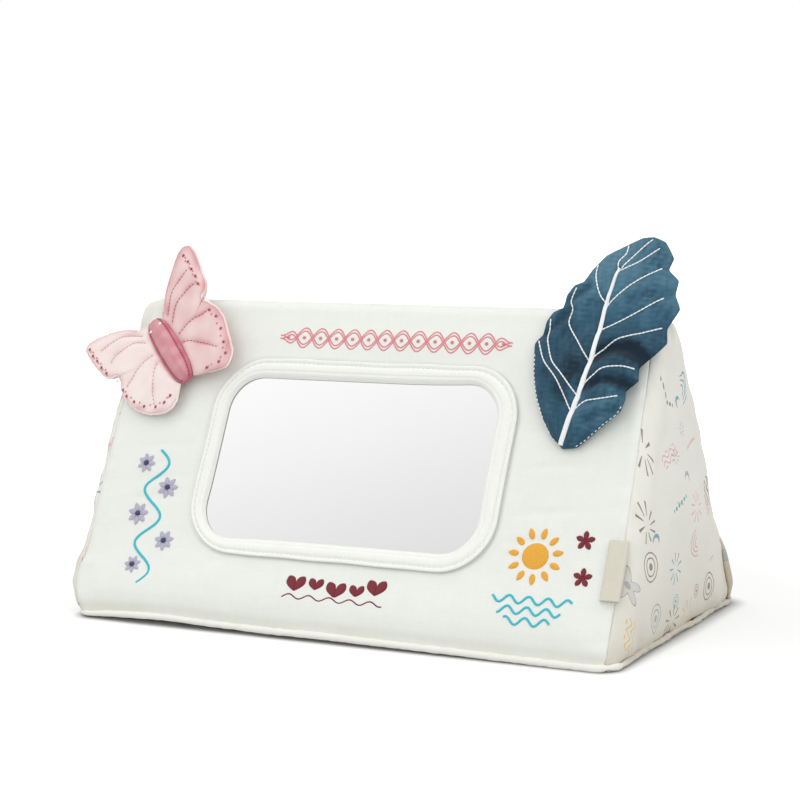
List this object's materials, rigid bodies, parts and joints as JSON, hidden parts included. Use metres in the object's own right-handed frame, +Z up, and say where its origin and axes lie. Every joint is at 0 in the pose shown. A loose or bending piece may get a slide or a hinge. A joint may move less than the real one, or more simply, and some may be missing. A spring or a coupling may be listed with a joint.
{
  "type": "baby floor mirror",
  "caption": "Soft foam wedge floor mirror for babies: mirror in a padded frame on the front slope, stuffed butterfly with flapping wings, lifting padded leaf and a folded ribbon label.",
  "frame": {"origin": "centre of the flat base, on the floor", "axes": "+X along the length to the right seen from the mirror side, -Y towards the mirror side, +Z up"},
  "size_m": [0.3586, 0.1816, 0.2051],
  "materials": {
    "cover_cotton": "matte",
    "printed_cotton": "matte",
    "foam": "matte",
    "filling": "matte",
    "pocket_lining": "matte",
    "backing_board": "matte",
    "mirror_film": "polished",
    "pink_cotton": "matte",
    "rose_cotton": "matte",
    "petrol_cotton": "matte",
    "crinkle_film": "satin",
    "ribbon": "matte"
  },
  "bodies": {
    "wedge": {"back_panel": "printed_cotton", "base_panel": "printed_cotton", "base_piping": "cover_cotton", "butterfly_body_back": "rose_cotton", "butterfly_body_front": "rose_cotton", "butterfly_body_stuffing": "filling", "foam_wedge": "foam", "front_panel": "cover_cotton", "left_end_panel": "printed_cotton", "mirror_backing": "backing_board", "mirror_frame_cover": "cover_cotton", "mirror_frame_padding": "filling", "mirror_pocket_lining": "pocket_lining", "mirror_sheet": "mirror_film", "piping_cord": "filling", "right_end_panel": "printed_cotton"},
    "left_wing": {"left_wing_front": "pink_cotton", "left_wing_wadding": "filling", "left_wing_back": "pink_cotton"},
    "right_wing": {"right_wing_front": "pink_cotton", "right_wing_wadding": "filling", "right_wing_back": "pink_cotton"},
    "leaf": {"leaf_front": "petrol_cotton", "leaf_wadding": "filling", "leaf_crinkle_film": "crinkle_film", "leaf_back": "petrol_cotton", "leaf_tab": "petrol_cotton"},
    "label": {"label_loop": "ribbon"}
  },
  "joints": [
    {"name": "left_wing_flap", "type": "hinge", "parent": "wedge", "child": "left_wing", "pos_m": [-0.13142, -0.02958, 0.13502], "axis": [-0.6756, 0.3361, 0.6562], "range_deg": [-2, 75]},
    {"name": "right_wing_flap", "type": "hinge", "parent": "wedge", "child": "right_wing", "pos_m": [-0.11978, -0.02471, 0.14452], "axis": [0.6756, -0.3361, -0.6562], "range_deg": [-10, 65]},
    {"name": "leaf_lift", "type": "hinge", "parent": "wedge", "child": "leaf", "pos_m": [0.138, 0, 0.16821], "axis": [-1, 0, 0], "range_deg": [0, 110]},
    {"name": "label_flip", "type": "hinge", "parent": "wedge", "child": "label", "pos_m": [0.16074, -0.06781, 0.04555], "axis": [0, 0.4558, 0.8901], "range_deg": [0, 100]}
  ]
}
